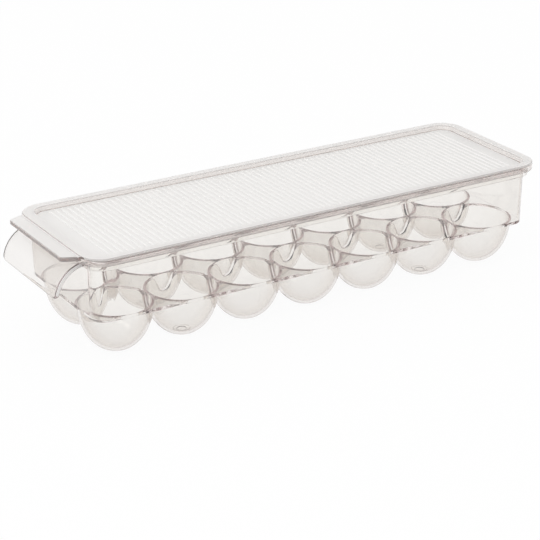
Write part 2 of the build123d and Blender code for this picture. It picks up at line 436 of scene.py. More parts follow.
@dataclass(frozen=True)
class RoundedRectangle:
    """A plan outline with four equal corners."""

    low: Point2
    high: Point2
    radius: float

    def core(self, place: Point2) -> Point2:
        """The nearest place on the rectangle that joins the corners' centres."""
        inner = self.inset(self.radius)
        return tuple(min(max(place[i], inner.low[i]), inner.high[i]) for i in (0, 1))

    def outward(self, place: Point2) -> Point2:
        """Direction straight out of the outline.

        Args:
            place: A place on the outline or near it.

        Returns:
            How far across and how far along one step goes.
        """
        core = self.core(place)
        reach = math.dist(place, core)
        return (place[0] - core[0]) / reach, (place[1] - core[1]) / reach

    def settle(self, place: Point2) -> Point2:
        """Move a point of the square-cornered outline on to the rounded one.

        Args:
            place: The point.

        Returns:
            The point on the rounded outline.
        """
        core = self.core(place)
        if place[0] == core[0] or place[1] == core[1]:
            return place
        across, along = self.outward(place)
        return core[0] + across * self.radius, core[1] + along * self.radius

    def depth(self, place: Point2) -> float:
        """How far a place lies inside the outline.

        Args:
            place: The place.

        Returns:
            The distance, negative outside the outline.
        """
        past = [max(self.low[i] - place[i], place[i] - self.high[i]) + self.radius for i in (0, 1)]
        beyond = math.hypot(max(past[0], 0.0), max(past[1], 0.0)) + min(max(past), 0.0)
        return self.radius - beyond

    def inset(self, reach: float, radius: float | None = None) -> "RoundedRectangle":
        """The outline a given distance inside this one.

        Args:
            reach: The distance.
            radius: Its corner radius, if it isn't what the distance leaves.

        Returns:
            The outline.
        """
        return RoundedRectangle(
            (self.low[0] + reach, self.low[1] + reach),
            (self.high[0] - reach, self.high[1] - reach),
            self.radius - reach if radius is None else radius,
        )

    def walk(self, side_steps: int, end_steps: int, corner_steps: int) -> list[Point2]:
        """Points once round the outline, counterclockwise from the right side's far end.

        Args:
            side_steps: Chords along each long side.
            end_steps: Chords along each short end.
            corner_steps: Chords round each corner.

        Returns:
            The points, as many for every outline with the same steps.
        """
        inner = self.inset(self.radius)
        (x0, y0), (x1, y1) = inner.low, inner.high
        centres = ((x1, y1), (x0, y1), (x0, y0), (x1, y0))
        arcs = [arc_points(centre, self.radius, 90 * i, 90, corner_steps) for i, centre in enumerate(centres)]
        points: list[Point2] = []
        for i, steps in enumerate((end_steps, side_steps, end_steps, side_steps)):
            (ax, ay), (bx, by) = arcs[i][-1], arcs[(i + 1) % 4][0]
            points += arcs[i]
            points += [(ax + (bx - ax) * k / steps, ay + (by - ay) * k / steps) for k in range(1, steps)]
        return points


@dataclass(frozen=True)
class ClearPlastic:
    """Injection-moulded clear polystyrene: glossy, near colourless in thin walls, with mauve-grey shade
    painted at its edges.

    The depth tint is what white light has turned to after ten millimetres of plastic, so a thin
    wall stays pale while a wall seen along its length goes grey. Where a face is marked for it,
    shade is painted into the colour: the edge shade tint comes in as the face turns from the eye
    and the rim shade tint in its last part, standing in for the shade of light caught inside a
    thin wall. The waves are the faint flow marks of moulding, about 20 mm long, which bend
    highlights a little. A fine mould texture makes a face satin: the haze is the share of light
    that it scatters. Without an edge shade tint no shade is painted.
    """

    name: str
    surface_tint: str = "F9F8F6"
    # Edge and rim shade tints are painted shade: the colours a face is painted towards as it turns from the
    # eye.
    edge_shade_tint: str = ""
    edge_from: float = 0.15
    edge_full: float = 1.0
    rim_shade_tint: str = "B4ABA6"
    rim_from: float = 0.6
    rim_full: float = 0.95
    depth_tint: str = "FCFAFA"
    depth_mm: float = 10.0
    roughness: float = 0.02
    index: float = 1.57
    satin_roughness: float = 0.5
    satin_haze: float = 0.92
    wave_mm: float = 20.0
    wave_height_mm: float = 0.02

    def painted_edge_shade(self, tree: bpy.types.NodeTree) -> bpy.types.NodeSocket:
        """Paint shade into the surface colour where a marked face turns away from the eye.

        Args:
            tree: The node tree.

        Returns:
            The socket with the colour.
        """
        # Painted shade: the base colour darkens by how far a marked face turns from the eye.
        facing = add_node(tree, "ShaderNodeLayerWeight", {"Blend": 0.5}).outputs["Facing"]
        painted_shade = add_node(tree, "ShaderNodeAttribute", {"attribute_name": PAINTED_SHADE_MARK}).outputs["Fac"]
        edge = (self.edge_from, self.edge_full, self.edge_shade_tint)
        rim = (self.rim_from, self.rim_full, self.rim_shade_tint)
        under: dict[int, bpy.types.NodeSocket] = {}
        for start, full, tint in (edge, rim):
            span = {"From Min": start, "From Max": full}
            turned = add_node(tree, "ShaderNodeMapRange", span, {"Value": facing})
            share = add_node(tree, "ShaderNodeMath", TIMES, {0: turned.outputs[0], 1: painted_shade})
            ends = {"data_type": "RGBA", MIX_FROM: linear(self.surface_tint), MIX_TO: linear(tint)}
            mixed = add_node(tree, "ShaderNodeMix", ends, {0: share.outputs[0], **under})
            under = {MIX_FROM: mixed.outputs[MIX_RESULT]}
        return under[MIX_FROM]

    def depth_colour(self, tree: bpy.types.NodeTree) -> bpy.types.NodeSocket:
        """Let light lose colour on its way through the plastic.

        Args:
            tree: The node tree.

        Returns:
            The socket with the volume.
        """
        losses = [-math.log(share) / (self.depth_mm * MM) for share in linear(self.depth_tint)[:3]]
        # Twice the largest loss keeps each channel of the colour at a half or more.
        density = 2 * max(losses)
        kept = [1 - loss / density for loss in losses]
        body = {"Color": (*kept, 1.0), "Density": density}
        return add_node(tree, "ShaderNodeVolumeAbsorption", body).outputs["Volume"]

    def material(self) -> bpy.types.Material:
        """Build the finish.

        Returns:
            The material.
        """
        plain = {
            "Base Color": linear(self.surface_tint),
            "Roughness": self.roughness,
            "IOR": self.index,
            "Transmission Weight": 1.0,
        }
        made = start_material(self.name, plain)
        tree = made.node_tree
        shader = tree.nodes["Principled BSDF"]
        mask = add_node(tree, "ShaderNodeAttribute", {"attribute_name": SATIN}).outputs["Fac"]
        satin = {"Roughness": self.satin_roughness, "Transmission Weight": 1 - self.satin_haze}
        for socket, value in satin.items():
            ends = {"To Min": plain[socket], "To Max": value}
            blend = add_node(tree, "ShaderNodeMapRange", ends, {"Value": mask})
            tree.links.new(blend.outputs["Result"], shader.inputs[socket])
        if self.edge_shade_tint:
            tree.links.new(self.painted_edge_shade(tree), shader.inputs["Base Color"])
        place = add_node(tree, "ShaderNodeTexCoord").outputs["Object"]
        spacing = {"Scale": 1 / (self.wave_mm * MM), "Detail": 1.0}
        waves = add_node(tree, "ShaderNodeTexNoise", spacing, {"Vector": place})
        height = {"Strength": 1.0, "Distance": self.wave_height_mm * MM}
        bump = add_node(tree, "ShaderNodeBump", height, {"Height": waves.outputs["Fac"]})
        tree.links.new(bump.outputs["Normal"], shader.inputs["Normal"])
        tree.links.new(self.depth_colour(tree), tree.nodes["Material Output"].inputs["Volume"])
        return made


@dataclass
class EggCups:
    """Two rows of egg cups that grow out of the deck between the tray's walls.

    Each cup has a cell of the deck. Its surfaces run on spokes from the cup's middle to points
    on the cell's edge, which the cell beside it shares. A side is -1 for the left row and 1 for
    the right, and rows count from the front.
    """

    outline: RoundedRectangle
    within: RoundedRectangle
    deck_z: float
    floor_z: float
    pitch: float
    wall: float
    ledge: float
    rows: int = 7
    wall_step: float = 0.25
    mouth_radius: float = 23.3
    mouth_slack: float = 0.01
    foot_radius: float = 4.0
    lip_radius: float = 0.24
    side_chords: int = 20
    bowl_rings: int = 22
    crease_blend: float = 18.0
    crease_slope: float = 6.0
    plain_reaches: tuple[float, ...] = (2.0, 4.5)
    gated_rows: tuple[int, ...] = (1, 5)
    gate_ring_radii: tuple[float, ...] = (3.5, 5.6)
    gate_ring_section: tuple[Point2, ...] = ((-0.45, 0.0), (-0.15, 0.35), (0.15, 0.35), (0.45, 0.0))
    outer_radius: float = field(init=False)
    bowl_depth: float = field(init=False)
    middle_y: float = field(init=False)

    def __post_init__(self) -> None:
        """Work out the bowl from the mouth, the wall and the flat foot."""
        self.outer_radius = self.mouth_radius + self.wall + self.wall_step - self.ledge
        self.bowl_depth = self.deck_z / math.sqrt(1 - (self.foot_radius / self.outer_radius) ** 2)
        self.middle_y = (self.outline.low[1] + self.outline.high[1]) / 2

    def centre(self, side: int, row: int) -> Point2:
        """The middle of a cup."""
        return side * self.pitch / 2, self.middle_y + (row - (self.rows - 1) / 2) * self.pitch

    def stops(self, marks: Sequence[float]) -> list[float]:
        """Shares of a cell's reach at which its edge has points, spread evenly as the cup sees them.

        Args:
            marks: Shares that take the places of the nearest ones.

        Returns:
            The shares, from minus one to one.
        """
        count = self.side_chords
        shares = [math.tan(math.pi / 4 * (2 * k / count - 1)) for k in range(count + 1)]
        for mark in marks:
            nearest = min(range(1, count), key=lambda k: abs(shares[k] - mark))
            shares[nearest] = mark
        return shares

    def mark_shares(self, side: int, places: Sequence[float], going: int) -> list[float]:
        """Turn places across the tray into shares of a cell's reach.

        Args:
            side: The cell's side.
            places: The places.
            going: 1 where the cell's edge runs to the right and -1 where it runs to the left.

        Returns:
            The shares of those places that lie on this cell.
        """
        middle = side * self.pitch / 2
        shares = []
        for x in places:
            end = self.outline.high[0] * side if (x - middle) * side > 0 else 0.0
            shares.append(going * (x - middle) / abs(end - middle))
        return [share for share in shares if abs(share) < 1]

    def cell_edge(
        self, side: int, row: int, outline: RoundedRectangle, marks: dict[str, Sequence[float]]
    ) -> list[tuple[Point2, bool]]:
        """Points round one cup's cell, each with whether a wall stands from there to the next.

        Args:
            side: The cup's side.
            row: Its row.
            outline: The deck's outline.
            marks: Places across the tray that need points, for its front and its back.

        Returns:
            The points counterclockwise from the left front corner.
        """
        centre = self.centre(side, row)
        last = row == self.rows - 1
        x0, x1 = sorted((0.0, outline.high[0] * side))
        y0 = outline.low[1] if row == 0 else centre[1] - self.pitch / 2
        y1 = outline.high[1] if last else centre[1] + self.pitch / 2
        front = self.mark_shares(side, marks["front"], 1) if row == 0 else []
        back = self.mark_shares(side, marks["back"], -1) if last else []
        corners = ((x0, y0), (x1, y0), (x1, y1), (x0, y1))
        walled = (row == 0, side > 0, last, side < 0)
        edge: list[tuple[Point2, bool]] = []
        for i, extra in enumerate((front, [], back, [])):
            start, end = corners[i], corners[(i + 1) % 4]
            axis = i % 2
            going = 1 if end[axis] > start[axis] else -1
            for share in self.stops(extra)[:-1]:
                reach = abs((end if share > 0 else start)[axis] - centre[axis])
                going_to = centre[axis] + going * share * reach
                spot = (start[0], going_to) if axis else (going_to, start[1])
                edge.append((outline.settle(spot), walled[i]))
        return edge

    def outer_height(self, centre: Point2, place: Point2) -> float:
        """Height of a cup's own outer surface, carried on steeply past its mouth.

        Args:
            centre: The cup's middle.
            place: Where the height is wanted.

        Returns:
            The height.
        """
        away = math.dist(place, centre)
        beyond = max(0.0, away - self.outer_radius)
        share = min(away + self.mouth_slack, self.outer_radius) / self.outer_radius
        return self.deck_z - self.bowl_depth * math.sqrt(1 - share * share) + beyond * self.crease_slope

    def underside(self, row: int, centre: Point2, place: Point2) -> float:
        """Height of the underside near a cup, with rounded creases towards the cups beside it.

        Args:
            row: The cup's row.
            centre: Its middle.
            place: Where the height is wanted.

        Returns:
            The height.
        """
        x, y = place
        mirrored = [(-x, y)]
        if row > 0:
            mirrored.append((x, 2 * centre[1] - self.pitch - y))
        if row < self.rows - 1:
            mirrored.append((x, 2 * centre[1] + self.pitch - y))
        height = self.outer_height(centre, place)
        for image in mirrored:
            other = self.outer_height(centre, image)
            blend = max(self.crease_blend - abs(height - other), 0.0) / self.crease_blend
            height = min(height, other) - blend * blend * self.crease_blend / 4
        return min(height, self.deck_z)

    def outer_bowl(self, skin: Skin, centre: Point2, row: int, edge: Sequence[Point2]) -> None:
        """Build a cup's outer surface and the deck's underside round it.

        Args:
            skin: The tray's skin.
            centre: The cup's middle.
            row: Its row.
            edge: The points round its cell.
        """
        spans = [math.dist(spot, centre) for spot in edge]
        first = math.asin(self.foot_radius / self.outer_radius)
        lasts = [math.asin(min(1.0, span / self.outer_radius)) for span in spans]
        foot = spokes(centre, edge, [self.foot_radius] * len(edge))
        rings = [[skin.point(x, y, 0.0) for x, y in foot]]
        levels = []
        for k in range(1, self.bowl_rings + 1):
            turns = [first + (last - first) * k / self.bowl_rings for last in lasts]
            levels.append([self.outer_radius * math.sin(turn) for turn in turns])
        for reaches in (*levels, spans):
            places = spokes(centre, edge, reaches)
            rings.append([skin.point(*place, self.underside(row, centre, place)) for place in places])
        skin.bowl(skin.point(*centre, 0.0), rings)

    def inner_section(self, row: int) -> list[Point2]:
        """Reach and height of the surface that the egg rests on, from the middle out to the deck.

        Args:
            row: The cup's row. Some rows have the raised rings of a moulding gate.

        Returns:
            The points, the first of them the middle.
        """
        radius = self.mouth_radius
        depth = self.bowl_depth - self.wall
        lifts = [(reach, 0.0) for reach in self.plain_reaches]
        if row in self.gated_rows:
            rings = self.gate_ring_radii
            lifts = [(ring + step, lift) for ring in rings for step, lift in self.gate_ring_section]
        first = math.asin(lifts[-1][0] / radius)
        for k in range(1, self.bowl_rings + 1):
            lifts.append((radius * math.sin(first + (math.pi / 2 - first) * k / self.bowl_rings), 0.0))
        section = [(0.0, self.deck_z - depth)]
        for reach, lift in lifts:
            rise = depth * math.sqrt(max(0.0, 1 - (reach / radius) ** 2))
            section.append((reach, self.deck_z - rise + lift))
        lip = (radius + self.lip_radius, self.floor_z - self.lip_radius)
        return [*section, *arc_points(lip, self.lip_radius, 180, -90, steps=3), (math.inf, self.floor_z)]

    def inner_bowl(self, skin: Skin, centre: Point2, row: int, edge: Sequence[Point2]) -> None:
        """Build the surface that the egg rests on and the deck's top round it.

        Args:
            skin: The tray's skin.
            centre: The cup's middle.
            row: Its row.
            edge: The points round its cell.
        """
        spans = [math.dist(spot, centre) for spot in edge]
        middle, *levels = self.inner_section(row)
        rings = []
        for reach, z in levels:
            places = spokes(centre, edge, [min(reach, span) for span in spans])
            rings.append([skin.point(x, y, z) for x, y in places])
        skin.bowl(skin.point(*centre, middle[1]), rings)

    def bearing(self, stand: tuple[Point2, Point2]) -> float:
        """The direction in which a pair of points lies from the tray's middle."""
        return math.atan2(stand[0][1] - self.middle_y, stand[0][0])

    def build(self, skin: Skin, marks: dict[str, Sequence[float]]) -> list[tuple[Point2, Point2]]:
        """Build every cup and the deck.

        Args:
            skin: The tray's skin.
            marks: Places across the tray where the rim changes, for its front and its back.

        Returns:
            Pairs of points on the deck's outer and inner outlines where the walls stand.
        """
        stands: dict[tuple[int, int], tuple[Point2, Point2]] = {}
        for side in (-1, 1):
            for row in range(self.rows):
                centre = self.centre(side, row)
                outer = self.cell_edge(side, row, self.outline, marks)
                inner = self.cell_edge(side, row, self.within, marks)
                self.outer_bowl(skin, centre, row, [spot for spot, _ in outer])
                self.inner_bowl(skin, centre, row, [spot for spot, _ in inner])
                for i, ((spot, walled), (within, _)) in enumerate(zip(outer, inner)):
                    if walled or outer[i - 1][1]:
                        key = (round(spot[0] * STAND_PARTS), round(spot[1] * STAND_PARTS))
                        stands[key] = (spot, within)
        return sorted(stands.values(), key=self.bearing)


@dataclass
class WallsAndRim:
    """Upright walls that stand a small round ledge out from the cups, with a rim that turns out and down."""

    outline: RoundedRectangle
    within: RoundedRectangle
    deck_z: float
    floor_z: float
    rim_z: float
    spread: float
    ledge: float
    rim_reach: float
    ledge_round: float = 0.32
    rim_thickness: float = 1.8
    lip_wall: float = 1.6
    lip_height: float = 4.5
    lip_edge: tuple[Point2, ...] = ((0.0, 0.3), (0.1, 0.09), (0.3, 0.0))
    lip_round: float = 1.2
    top_radius: float = 0.8
    fillet: float = 0.4
    handle_half_width: float = 39.2
    hinge_half_width: float = 7.7

    def marks(self) -> dict[str, Sequence[float]]:
        """Places across the tray where the rim changes, for its front and its back."""
        ends = [s * HINGE_SPACING / 2 + e * self.hinge_half_width for s in (-1, 1) for e in (-1, 1)]
        return {"front": (-self.handle_half_width, self.handle_half_width), "back": ends}

    def strip_kind(self, here: Point2, there: Point2) -> Strip:
        """Which parts of the rim stand between two places on the outline.

        Args:
            here: The first place.
            there: The second place.

        Returns:
            The kind of strip.
        """
        x, y = (here[0] + there[0]) / 2, (here[1] + there[1]) / 2
        if y < self.outline.low[1] + ON_LINE and abs(x) < self.handle_half_width:
            return Strip.NO_RIM
        if y > self.outline.high[1] - ON_LINE and abs(abs(x) - HINGE_SPACING / 2) < self.hinge_half_width:
            return Strip.NO_LIP
        return Strip.FULL

    def wall_reach(self, z: float) -> float:
        """How far out the leaning wall's outer side stands at a height."""
        return self.ledge + self.spread * (z - self.floor_z) / (self.rim_z - self.floor_z)

    def outer_section(self) -> tuple[list[Point2], dict[Strip, range]]:
        """Reach and height along the outer surface, from the deck's edge up to the rim's top.

        Returns:
            The points, and for each kind of strip the run of points that it leaves out.
        """
        shelf_z = self.rim_z - self.rim_thickness
        edge = self.ledge + self.spread + self.rim_reach
        lip_in = edge - self.lip_wall
        low = self.rim_z - self.lip_height
        foot_z = self.deck_z + self.ledge_round
        wall_z = shelf_z - self.fillet
        turn = arc_points((self.ledge - self.ledge_round, foot_z), self.ledge_round, 270, 90, steps=6)
        section = [(0.0, self.deck_z), *turn[:-1]]
        section += [(self.wall_reach(z), z) for z in (foot_z, wall_z)]
        rim_from = len(section)
        corner = (self.wall_reach(shelf_z) + self.fillet, wall_z)
        section += arc_points(corner, self.fillet, 180, -90, steps=3)[1:]
        section.append((lip_in, shelf_z))
        lip_from = len(section)
        section += [(lip_in + reach, low + rise) for reach, rise in self.lip_edge]
        lip = (edge - self.lip_round, low + self.lip_round)
        section += arc_points(lip, self.lip_round, 270, 90, steps=5)
        lip_to = len(section)
        section.append((edge, shelf_z))
        top = (edge - self.top_radius, self.rim_z - self.top_radius)
        section += arc_points(top, self.top_radius, 0, 90, steps=5)
        rim_to = len(section)
        section.append((self.ledge + self.spread, self.rim_z))
        left_out = {Strip.NO_LIP: range(lip_from, lip_to), Strip.NO_RIM: range(rim_from, rim_to)}
        return section, {Strip.FULL: range(0), **left_out}

    def inner_section(self) -> list[Point2]:
        """Reach and height along the inner surface, from the rim's top down to the deck.

        Returns:
            The points.
        """
        top = self.ledge + self.spread
        return [
            (top + EDGE_ROUND, self.rim_z),
            (top + ROUND_MIDDLE, self.rim_z - ROUND_MIDDLE),
            (top, self.rim_z - EDGE_ROUND),
            (0.0, self.floor_z),
        ]

    def build(self, skin: Skin, stands: Sequence[tuple[Point2, Point2]]) -> None:
        """Build the walls on the deck's outline.

        Args:
            skin: The tray's skin.
            stands: Pairs of points on the deck's outer and inner outlines.
        """
        outer, left_out = self.outer_section()
        inner = self.inner_section()
        columns = []
        for spot, within in stands:
            column = []
            for place, outline, section in ((spot, self.outline, outer), (within, self.within, inner)):
                across, along = outline.outward(place)
                column += [skin.point(place[0] + across * d, place[1] + along * d, z) for d, z in section]
            columns.append(column)
        count = len(stands)
        kinds = [self.strip_kind(stands[i][0], stands[(i + 1) % count][0]) for i in range(count)]
        for i, kind in enumerate(kinds):
            kept = [k for k in range(len(outer) + len(inner)) if k not in left_out[kind]]
            here, there = columns[i], columns[(i + 1) % count]
            skin.bridge([here[k] for k in kept], [there[k] for k in kept])
            if kinds[i - 1] != kind:
                missing = left_out[kinds[i - 1] if kind == Strip.FULL else kind]
                skin.face(here[missing.start - 1 : missing.stop + 1])


@dataclass
class CurledHandle:
    """Quarter-round curl that grows out of the front wall's top."""

    root_y: float
    top_z: float
    half_width: float
    reach: float = 23.4
    wall: float = 3.2
    tip_angle: float = 7.0
    edge_radius: float = 0.7
    tip_corner: float = 4.0
    root_depth: float = 1.0
    chords: int = 30
    edge_chords: int = 5

    def stations(self) -> list[Point3]:
        """Places across the curl's one end, closer together where it rounds off.

        Returns:
            For each place how far in it lies, and how much thinner and how much shorter the curl is.
        """
        rises = [1 - math.cos(math.pi / 2 * k / self.edge_chords) for k in range(self.edge_chords + 1)]
        insets = [self.edge_radius * rise for rise in rises]
        insets += [self.tip_corner * rise for rise in rises if self.tip_corner * rise > insets[-1]]
        made = []
        for inset in insets:
            side = max(0.0, 1 - inset / self.edge_radius)
            end = max(0.0, 1 - inset / self.tip_corner)
            thin = self.edge_radius * (1 - math.sqrt(1 - side * side))
            made.append((inset, thin, self.tip_corner * (1 - math.sqrt(1 - end * end))))
        return made

    def build(self) -> bpy.types.Object:
        """Build the curl as a closed piece whose root lies inside the wall.

        Returns:
            The piece.
        """
        skin = Skin()
        around = (self.root_y, self.top_z - self.reach)
        middle = self.reach - self.wall / 2
        root_y = self.root_y + self.root_depth
        across = [(-self.half_width + inset, thin, short) for inset, thin, short in self.stations()]
        across += [(-x, thin, short) for x, thin, short in reversed(across)]
        rings = []
        for x, thin, short in across:
            half = self.wall / 2 - thin
            tip = 180 - self.tip_angle - math.degrees(short / middle)
            section = [(root_y, around[1] + middle + half)]
            section += arc_points(around, middle + half, 90, tip - 90, self.chords)
            section += arc_points(on_circle(around, middle, tip), half, tip, 180, steps=8)[1:-1]
            section += reversed(arc_points(around, middle - half, 90, tip - 90, self.chords))
            section.append((root_y, around[1] + middle - half))
            rings.append([skin.point(x, y, z) for y, z in section])
        skin.solid(rings)
        return skin.to_object("handle_curl")


@dataclass
class PivotBars:
    """Two bars between small lugs under the rim, on which the lid's clips turn."""

    wall_y: float
    shelf_z: float
    pivot: Point2
    bar_radius: float = 1.3
    lug_radius: float = 2.8
    lug_wall: float = 2.0
    lug_half_gap: float = 5.4
    lug_edge: float = 0.3
    bite: float = 0.6

    def lug(self, start_x: float) -> bpy.types.Object:
        """Build one lug as a closed plate that bites a little into the wall and the rim.

        Args:
            start_x: Where it starts across the tray.

        Returns:
            The lug.
        """
        y, z = self.pivot
        root_y = self.wall_y - self.bite
        root_z = self.shelf_z + self.bite
        outline = [(root_y, root_z), (root_y, z - self.lug_radius)]
        outline += arc_points(self.pivot, self.lug_radius, 270, 90, steps=10)
        outline.append((y + self.lug_radius, root_z))
        return plate_across(outline, start_x, self.lug_wall, self.lug_edge, "lug")

    def build(self) -> list[bpy.types.Object]:
        """Build both stations.

        Returns:
            Lugs and bars as closed pieces.
        """
        pieces = []
        for side in (-1, 1):
            station = side * HINGE_SPACING / 2
            pieces.append(self.lug(station - self.lug_half_gap - self.lug_wall))
            pieces.append(self.lug(station + self.lug_half_gap))
            ring = arc_points(self.pivot, self.bar_radius, 0, 360, steps=28)[:-1]
            reach = self.lug_half_gap + self.bite
            pieces.append(plate_across(ring, station - reach, 2 * reach, 0.0, "bar"))
        return pieces


@dataclass
class Tray:
    """The whole tray: cups, walls, rim, handle and pivot bars in one clear moulding.

    The shares say how much painted shade its faces take and how satin they are. The cups take
    the painted shade in full from a little below the deck, the walls' round corners in full and
    the straight walls in part.
    """

    finish: ClearPlastic
    nodes: tuple[str, ...]
    pivot: Point2
    pitch: float = 48.5
    wall: float = 1.8
    wall_corner: float = 10.0
    inner_corner: float = 7.0
    draft: float = 0.7
    rim_reach: float = 3.4
    ledge: float = 0.4
    # Painted shade shares for faces turned from the eye: full on the cups from this depth below the deck, in
    # part on straight walls, in full on round corners.
    full_shade_depth: float = 6.0
    wall_shade_share: float = 0.45
    corner_shade_share: float = 1.0
    handle_end_share: float = 0.8
    deck_z: float = field(init=False)
    root_y: float = field(init=False)

    def build(self) -> bpy.types.Object:
        """Build the moulding in the frame's place.

        Returns:
            The tray.
        """
        rim_low, _ = node_box("tray_wall_front")
        _, rim_high = node_box("tray_wall_rear")
        _, cup_high = node_box("egg_cup_right_1")
        _, handle_high = node_box("handle")
        floor_z, rim_z = cup_high[2], rim_high[2]
        self.deck_z = floor_z - self.wall
        spread = (rim_z - floor_z) * math.tan(math.radians(self.draft))
        outside = RoundedRectangle(rim_low[:2], rim_high[:2], self.wall_corner)
        outline = outside.inset(spread + self.rim_reach, self.wall_corner)
        foot = outline.inset(self.ledge)
        within = foot.inset(self.wall - self.ledge, self.inner_corner)
        self.root_y = outline.low[1] - spread
        skin = Skin()
        cups = EggCups(foot, within, self.deck_z, floor_z, self.pitch, self.wall, self.ledge)
        walls = WallsAndRim(foot, within, self.deck_z, floor_z, rim_z, spread, self.ledge, self.rim_reach)
        walls.build(skin, cups.build(skin, walls.marks()))
        tray = skin.to_object("egg_tray")
        handle = CurledHandle(self.root_y, handle_high[2], handle_high[0])
        bars = PivotBars(outline.high[1] + spread, rim_z - walls.rim_thickness, self.pivot)
        fuse(tray, [handle.build(), *bars.build()])
        smooth(tray)
        log.info("egg_tray: %d faces", len(tray.data.polygons))
        return tray

    def satin_share(self, place: Vector, normal: Vector) -> float:
        """How satin a face is: only the handle's two ends are."""
        at_end = place.y < self.root_y and abs(normal.x) > SIDEWAYS
        return self.handle_end_share if at_end else 0.0

    def painted_shade_share(self, place: Vector, normal: Vector) -> float:
        """How much painted shade darkens a face as it turns from the eye.

        Args:
            place: The face's centre.
            normal: Its outward direction.

        Returns:
            The share, from nothing to one.
        """
        across, along, upright = (abs(part) for part in normal)
        share = 0.0 if upright > LEVEL else self.wall_shade_share
        if min(across, along) > CORNER and upright < UPRIGHT:
            share = self.corner_shade_share
        return min(1.0, max(share, (self.deck_z - place.z) / self.full_shade_depth))

    def dress(self, tray: bpy.types.Object) -> None:
        """Give the tray its finish and its place among the bodies.

        Args:
            tray: The tray.
        """
        tray.data.materials.clear()
        tray.data.materials.append(self.finish.material())
        mark_faces(tray, SATIN, self.satin_share)
        # Marks the painted shade share of each face.
        mark_faces(tray, PAINTED_SHADE_MARK, self.painted_shade_share)
        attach(tray, Body.TRAY.value)
        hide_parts(*self.nodes)


